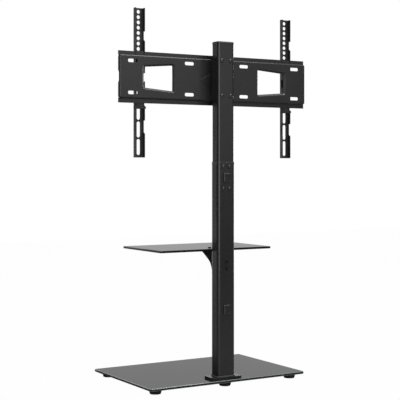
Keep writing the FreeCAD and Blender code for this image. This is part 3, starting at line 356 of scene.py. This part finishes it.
def roundedPath(halfX, halfY, corner, perCorner, count):
    # rounded rectangle at equal steps: corner arcs joined by straight runs, read off by length;
    # the outward direction is the line between a step's neighbours, turned by a quarter
    quarter = 0.5 * np.pi
    arcs = []
    for number, (sideX, sideY) in enumerate(((1, 1), (-1, 1), (-1, -1), (1, -1))):
        angle = np.linspace(0.0, quarter, perCorner) + quarter * number
        arcs.append(np.stack([sideX * (halfX - corner) + corner * np.cos(angle),
                              sideY * (halfY - corner) + corner * np.sin(angle)], axis=1))
    line = np.concatenate(arcs + [arcs[0][:1]])
    length = np.concatenate([[0.0], np.cumsum(np.hypot(*np.diff(line, axis=0).T))])
    steps = np.linspace(0.0, length[-1], count, endpoint=False)
    path = np.stack([np.interp(steps, length, line[:, axis]) for axis in (0, 1)], axis=1)
    along = np.roll(path, -1, axis=0) - np.roll(path, 1, axis=0)
    along /= np.hypot(along[:, :1], along[:, 1:])
    return path, np.stack([along[:, 1], -along[:, 0]], axis=1)


def weldBead(setup):
    # quarter-round bead in the corner of column and flange; its radius swells once per ripple,
    # and the ripple runs late at the toes, which bends it into a crescent
    low, high = (np.array(corner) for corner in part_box("lower_column"))
    middle = 0.5 * (low + high)
    halfX, halfY = 0.5 * (high - low)[:2]
    runLength = 4.0 * (halfX + halfY - 2.0 * setup["corner"]) + 2.0 * np.pi * setup["corner"]
    count = round(runLength / setup["pitch"]) * setup["perRipple"]
    path, outward = roundedPath(halfX, halfY, setup["corner"], setup["perCorner"], count)
    lift = np.pi * np.linspace(*setup["sweep"], setup["across"])
    late = setup["late"] * (lift - 0.25 * np.pi) ** 2
    phase = 2.0 * np.pi * np.arange(count) / setup["perRipple"]
    swell = 1.0 + setup["rippleShare"] * np.cos(phase[:, None] - late[None, :])
    root = np.full((count, 1), setup["root"])
    reach = setup["leg"] * np.hstack([swell * np.cos(lift), root])
    rise = setup["leg"] * np.hstack([swell * np.sin(lift), root])
    across = middle[:2] + path[:, None, :] + reach[..., None] * outward[:, None, :]
    rings = np.concatenate([across, (low[2] + rise)[..., None]], axis=2)
    gridPiece("weldBead", [(rings, True)], "tubeCoat")


weldBead(weldSetup)

flapSetup = {
    "halfWidth": 0.0074, "halfHeight": 0.0094,  # of the cable way, metres
    "recess": 0.0016,         # behind the grommet's face
    "thick": 0.0009,
    "slit": 0.0003,           # half the gap between the two flaps
    "bow": 0.0007,            # how far the free edges stand out
    "bowLoss": 0.6,           # share of the bow that is gone at top and bottom
    "wave": 0.00022,          # how far the free edges wander
    "waveTurn": 5.0,          # radians of the wave in half the height
    "across": 12, "along": 30,
}


def cableFlaps(level, setup):
    # two rubber tongues that meet at an upright slit: each strip runs from the rim to a wavy free edge
    # and bows out with the square of that run, less towards top and bottom
    low, high = (np.array(corner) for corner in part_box("cable_grommet_" + level))
    middleZ = 0.5 * (low[2] + high[2])
    share = np.linspace(0.0, 1.0, setup["across"])[None, :]
    run = np.linspace(-1.0, 1.0, setup["along"])[:, None]
    loops = []
    for side in (1.0, -1.0):
        free = setup["slit"] + setup["wave"] * (1.0 + np.sin(setup["waveTurn"] * run + side))
        x = side * (setup["halfWidth"] + share * (free - setup["halfWidth"]))
        y = high[1] - setup["recess"] + setup["bow"] * share ** 2 * (1.0 - setup["bowLoss"] * run ** 2)
        z = np.broadcast_to(middleZ + setup["halfHeight"] * run, x.shape)
        outer = np.stack([x, y, z], axis=2)
        inner = outer - np.array([0.0, setup["thick"], 0.0])
        ring = np.concatenate([outer, inner[:, ::-1]], axis=1)
        loops.append((ring if side > 0 else ring[:, ::-1], False))
    gridPiece("cableFlaps" + level.capitalize(), loops, "mattRubber")


for level in ("upper", "lower"):
    cableFlaps(level, flapSetup)
print("pieces added: weld bead and cable flaps")

# floor, backdrop and lamps: behind the stand is +Y, and the left of the picture is +X

plainWhite = (1.0, 1.0, 1.0, 1.0)
backdropSide = (-math.sin(cameraSetup["turn"]), math.cos(cameraSetup["turn"]), 0.0)  # beyond the stand, level


def towardBackdrop(tree, vector):
    inputs = {0: vector, 1: backdropSide}
    return addStep(tree, "ShaderNodeVectorMath", inputs, operation="DOT_PRODUCT").outputs["Value"]


def seenRays(tree):
    # rays straight from the camera, and rays that mirror or pass on its view
    rays = addStep(tree, "ShaderNodeLightPath", {}).outputs
    bounced = mathStep(tree, "MAXIMUM", rays["Is Glossy Ray"], rays["Is Transmission Ray"])
    return rays["Is Camera Ray"], bounced


floorSetup = {
    "half": 6.0,             # metres
    "colour": grey(0.32), "rough": 0.9, "gloss": 0.0,
    "white": 0.985,          # share of plain white that the camera sees, the rest keeps the shadow
    "mirrored": (1.2, 2.6),  # metres beyond the stand between which reflections of the floor go white
}


def stageFloor(setup):
    half = setup["half"]
    mesh = bpy.data.meshes.new("floor")
    mesh.from_pydata([(-half, -half, 0.0), (half, -half, 0.0), (half, half, 0.0), (-half, half, 0.0)],
                     [], [(0, 1, 2, 3)])
    finish, tree, shader = newFinish("paleFloor")
    feed(tree, shader, {
        "Base Color": setup["colour"],
        "Roughness": setup["rough"],
        "Specular IOR Level": setup["gloss"],
    })
    direct, bounced = seenRays(tree)
    far = ramped(tree, towardBackdrop(tree, objectPlace(tree)), 0.0, 1.0, setup["mirrored"])
    seen = mathStep(tree, "MAXIMUM", direct, mathStep(tree, "MULTIPLY", bounced, far))
    factor = mathStep(tree, "MULTIPLY", seen, setup["white"])
    white = addStep(tree, "ShaderNodeEmission", {"Color": plainWhite, "Strength": 1.0}).outputs["Emission"]
    surface = addStep(tree, "ShaderNodeMixShader", {0: factor, 1: shader.outputs["BSDF"], 2: white})
    feed(tree, tree.nodes["Material Output"], {"Surface": surface.outputs["Shader"]})
    mesh.materials.append(finish)
    floor = bpy.data.objects.new("floor", mesh)
    scene.collection.objects.link(floor)


stageFloor(floorSetup)

worldSetup = {
    "horizon": 0.10, "zenith": 0.45,  # light from all round, level and from above
    "edge": (0.88, 0.96),             # cosines between which the white backdrop fades in
}


def studioWorld(setup):
    world = bpy.data.worlds.new("studio")
    scene.world = world
    world.use_nodes = True
    tree = world.node_tree
    toward = addStep(tree, "ShaderNodeTexCoord", {}).outputs["Generated"]
    backdrop = ramped(tree, towardBackdrop(tree, toward), 0.0, 1.0, setup["edge"])
    direct, bounced = seenRays(tree)
    white = mathStep(tree, "MAXIMUM", direct, mathStep(tree, "MULTIPLY", bounced, backdrop))
    upward = addStep(tree, "ShaderNodeSeparateXYZ", {"Vector": toward}).outputs["Z"]
    fill = ramped(tree, upward, setup["horizon"], setup["zenith"], (0.0, 1.0))
    feed(tree, tree.nodes["Background"], {
        "Color": plainWhite,
        "Strength": mixed(tree, "FLOAT", white, fill, 1.0),
    })


studioWorld(worldSetup)

lampSetup = {  # places and sizes in metres
    "key": {"place": (0.60, 3.20, 1.05), "size": (1.5, 2.05), "watts": 35.0},
    "rear": {"place": (-1.20, 3.00, 1.60), "size": (1.8, 2.2), "watts": 10.0},
    "left": {"place": (2.05, 2.35, 1.00), "size": (1.4, 1.95), "watts": 14.0},
    "overhead": {"place": (-0.30, 0.60, 2.75), "size": (1.8, 1.8), "watts": 76.0},
    "right": {"place": (-2.40, -1.20, 1.10), "size": (0.8, 2.0), "watts": 24.0},
    "front": {"place": (0.70, -2.90, 1.00), "size": (0.9, 1.9), "watts": 13.0},
}
lampAim = (0.0, 0.10, 0.75)

for name, setup in lampSetup.items():
    lampData = bpy.data.lights.new(name, "AREA")
    lampData.shape = "RECTANGLE"
    lampData.size, lampData.size_y = setup["size"]
    lampData.energy = setup["watts"]
    lamp = bpy.data.objects.new(name, lampData)
    lamp.location = setup["place"]
    aim = np.array(lampAim) - np.array(setup["place"])
    tip = math.acos(-aim[2] / np.linalg.norm(aim))  # from straight down
    lamp.rotation_euler = (tip, 0.0, math.atan2(-aim[0], aim[1]))
    lamp.visible_camera = False
    scene.collection.objects.link(lamp)
print("stage set:", len(lampSetup), "lamps")
